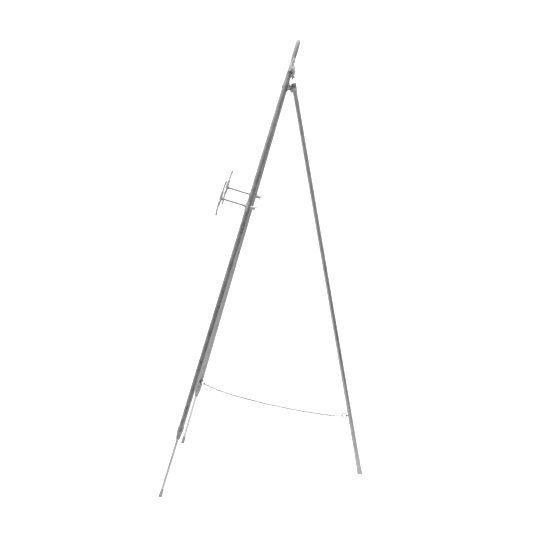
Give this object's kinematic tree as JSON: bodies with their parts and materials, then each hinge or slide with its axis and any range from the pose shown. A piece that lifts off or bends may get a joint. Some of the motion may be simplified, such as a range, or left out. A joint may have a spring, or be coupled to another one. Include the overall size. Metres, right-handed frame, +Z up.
{
  "type": "tripod display easel",
  "caption": "Folding metal floor easel: leaning A-shaped tube frame with telescoping feet, hinged rear leg held by a chain, two picture holders and a leaf-shaped top ornament.",
  "frame": {"origin": "middle of the footprint's box on the floor", "axes": "+Z up; the picture side faces -Y and the rear leg is at +Y; +X is the right-hand front leg seen from the picture side"},
  "size_m": [0.6326, 0.7274, 1.6266],
  "materials": {
    "tube": "satin antique silver plating, slightly mottled",
    "bright_rod": "polished plating",
    "collar": "satin, ribbed",
    "nylon": "natural nylon",
    "plug": "moulded, satin",
    "foot": "matt",
    "rear_tip": "moulded, satin",
    "fitting": "plated, satin",
    "fitting_light": "satin",
    "casting": "cast, antique silver with darker hollows",
    "chain": "bright plating"
  },
  "bodies": {
    "frame": {"upper_tube_left": "tube", "upper_tube_right": "tube", "top_plug_left": "plug", "top_plug_right": "plug", "collet_left": "nylon", "collet_right": "nylon", "saddle_left": "fitting_light", "saddle_right": "fitting_light", "curved_washer_left": "fitting_light", "curved_washer_right": "fitting_light", "hinge_bracket": "fitting", "hinge_pin": "fitting", "pin_nut": "fitting", "bracket_bolts": "fitting", "bracket_nuts": "fitting", "finial": "casting", "finial_screws": "fitting", "front_eye": "fitting"},
    "rear_leg": {"rear_tube": "tube", "rear_cap": "plug", "rear_foot": "rear_tip", "hinge_strap": "fitting", "strap_rivet": "fitting", "rear_eye": "fitting"},
    "lower_leg_left": {"lower_rod_left": "bright_rod", "rod_guide_left": "nylon", "front_foot_left": "foot"},
    "lock_collar_left": {"lock_collar_left": "collar"},
    "holder_left": {"holder_rod_left": "bright_rod", "ornament_left": "casting"},
    "wing_nut_left": {"wing_nut_left": "fitting_light"},
    "lower_leg_right": {"lower_rod_right": "bright_rod", "rod_guide_right": "nylon", "front_foot_right": "foot"},
    "lock_collar_right": {"lock_collar_right": "collar"},
    "holder_right": {"holder_rod_right": "bright_rod", "ornament_right": "casting"},
    "wing_nut_right": {"wing_nut_right": "fitting_light"},
    "ring_front": {"front_ring": "chain"},
    "chain_1": {"chain_stretch_1": "chain"},
    "chain_2": {"chain_stretch_2": "chain"},
    "ring_rear": {"rear_ring": "chain", "chain_hook": "chain"},
    "chain_4": {"chain_stretch_4": "chain"},
    "chain_3": {"chain_stretch_3": "chain"}
  },
  "joints": [
    {"name": "rear_leg_fold", "type": "hinge", "parent": "frame", "child": "rear_leg", "pos_m": [0, 0.09105, 1.45145], "axis": [1, 0, 0], "range_deg": [-26, 0], "deforming": ["chain_stretch_1", "chain_stretch_2", "chain_stretch_3", "chain_stretch_4"]},
    {"name": "leg_extend_left", "type": "slide", "parent": "frame", "child": "lower_leg_left", "axis": [-0.1865, -0.279, -0.942], "range_m": [-0.18, 0.25]},
    {"name": "collar_twist_left", "type": "hinge", "parent": "frame", "child": "lock_collar_left", "pos_m": [-0.26898, -0.29585, 0.20724], "axis": [0.1865, 0.279, 0.942], "range_deg": [0, 120]},
    {"name": "holder_swivel_left", "type": "hinge", "parent": "frame", "child": "holder_left", "pos_m": [-0.10501, -0.0505, 1.03553], "axis": [0, -0.9588, 0.284], "range_deg": [-90, 90]},
    {"name": "wing_nut_spin_left", "type": "hinge", "parent": "holder_left", "child": "wing_nut_left", "pos_m": [-0.10501, -0.0505, 1.03553], "axis": [0, -0.9588, 0.284], "continuous": true},
    {"name": "leg_extend_right", "type": "slide", "parent": "frame", "child": "lower_leg_right", "axis": [0.1865, -0.279, -0.942], "range_m": [-0.18, 0.25]},
    {"name": "collar_twist_right", "type": "hinge", "parent": "frame", "child": "lock_collar_right", "pos_m": [0.26898, -0.29585, 0.20724], "axis": [-0.1865, 0.279, 0.942], "range_deg": [0, 120]},
    {"name": "holder_swivel_right", "type": "hinge", "parent": "frame", "child": "holder_right", "pos_m": [0.10501, -0.0505, 1.03553], "axis": [0, -0.9588, 0.284], "range_deg": [-90, 90]},
    {"name": "wing_nut_spin_right", "type": "hinge", "parent": "holder_right", "child": "wing_nut_right", "pos_m": [0.10501, -0.0505, 1.03553], "axis": [0, -0.9588, 0.284], "continuous": true},
    {"name": "ring_swing_front", "type": "hinge", "parent": "frame", "child": "ring_front", "pos_m": [-0.24062, -0.27341, 0.27256], "axis": [-0.9145, 0.2556, -0.3137], "range_deg": [0, 30.5]},
    {"name": "chain_swing_1", "type": "hinge", "parent": "ring_front", "child": "chain_1", "pos_m": [-0.23463, -0.25904, 0.26679], "axis": [-0.9256, 0.3646, -0.1019], "range_deg": [0, 47.9]},
    {"name": "chain_swing_2", "type": "hinge", "parent": "chain_1", "child": "chain_2", "pos_m": [-0.17014, -0.10452, 0.23393], "axis": [0.231, -0.183, -0.9556], "range_deg": [0, 46]},
    {"name": "ring_swing_rear", "type": "hinge", "parent": "rear_leg", "child": "ring_rear", "pos_m": [-0.00122, 0.30027, 0.22597], "axis": [0.8451, -0.2815, -0.4545], "range_deg": [0, 30.5]},
    {"name": "chain_swing_4", "type": "hinge", "parent": "ring_rear", "child": "chain_4", "pos_m": [-0.02187, 0.25078, 0.21823], "axis": [0.8814, -0.363, -0.3022], "range_deg": [0, 81.8]},
    {"name": "chain_swing_3", "type": "hinge", "parent": "chain_4", "child": "chain_3", "pos_m": [-0.06038, 0.15849, 0.21675], "axis": [-0.3042, 0.0908, -0.9483], "range_deg": [0, 6.6]}
  ],
  "couplings": [
    {"joint": "ring_swing_front", "follows": "rear_leg_fold", "ratio": -1.1539},
    {"joint": "chain_swing_1", "follows": "rear_leg_fold", "ratio": -1.8243},
    {"joint": "chain_swing_2", "follows": "rear_leg_fold", "ratio": -1.7488},
    {"joint": "ring_swing_rear", "follows": "rear_leg_fold", "ratio": -1.1539},
    {"joint": "chain_swing_4", "follows": "rear_leg_fold", "ratio": -3.1252},
    {"joint": "chain_swing_3", "follows": "rear_leg_fold", "ratio": -0.23568}
  ]
}
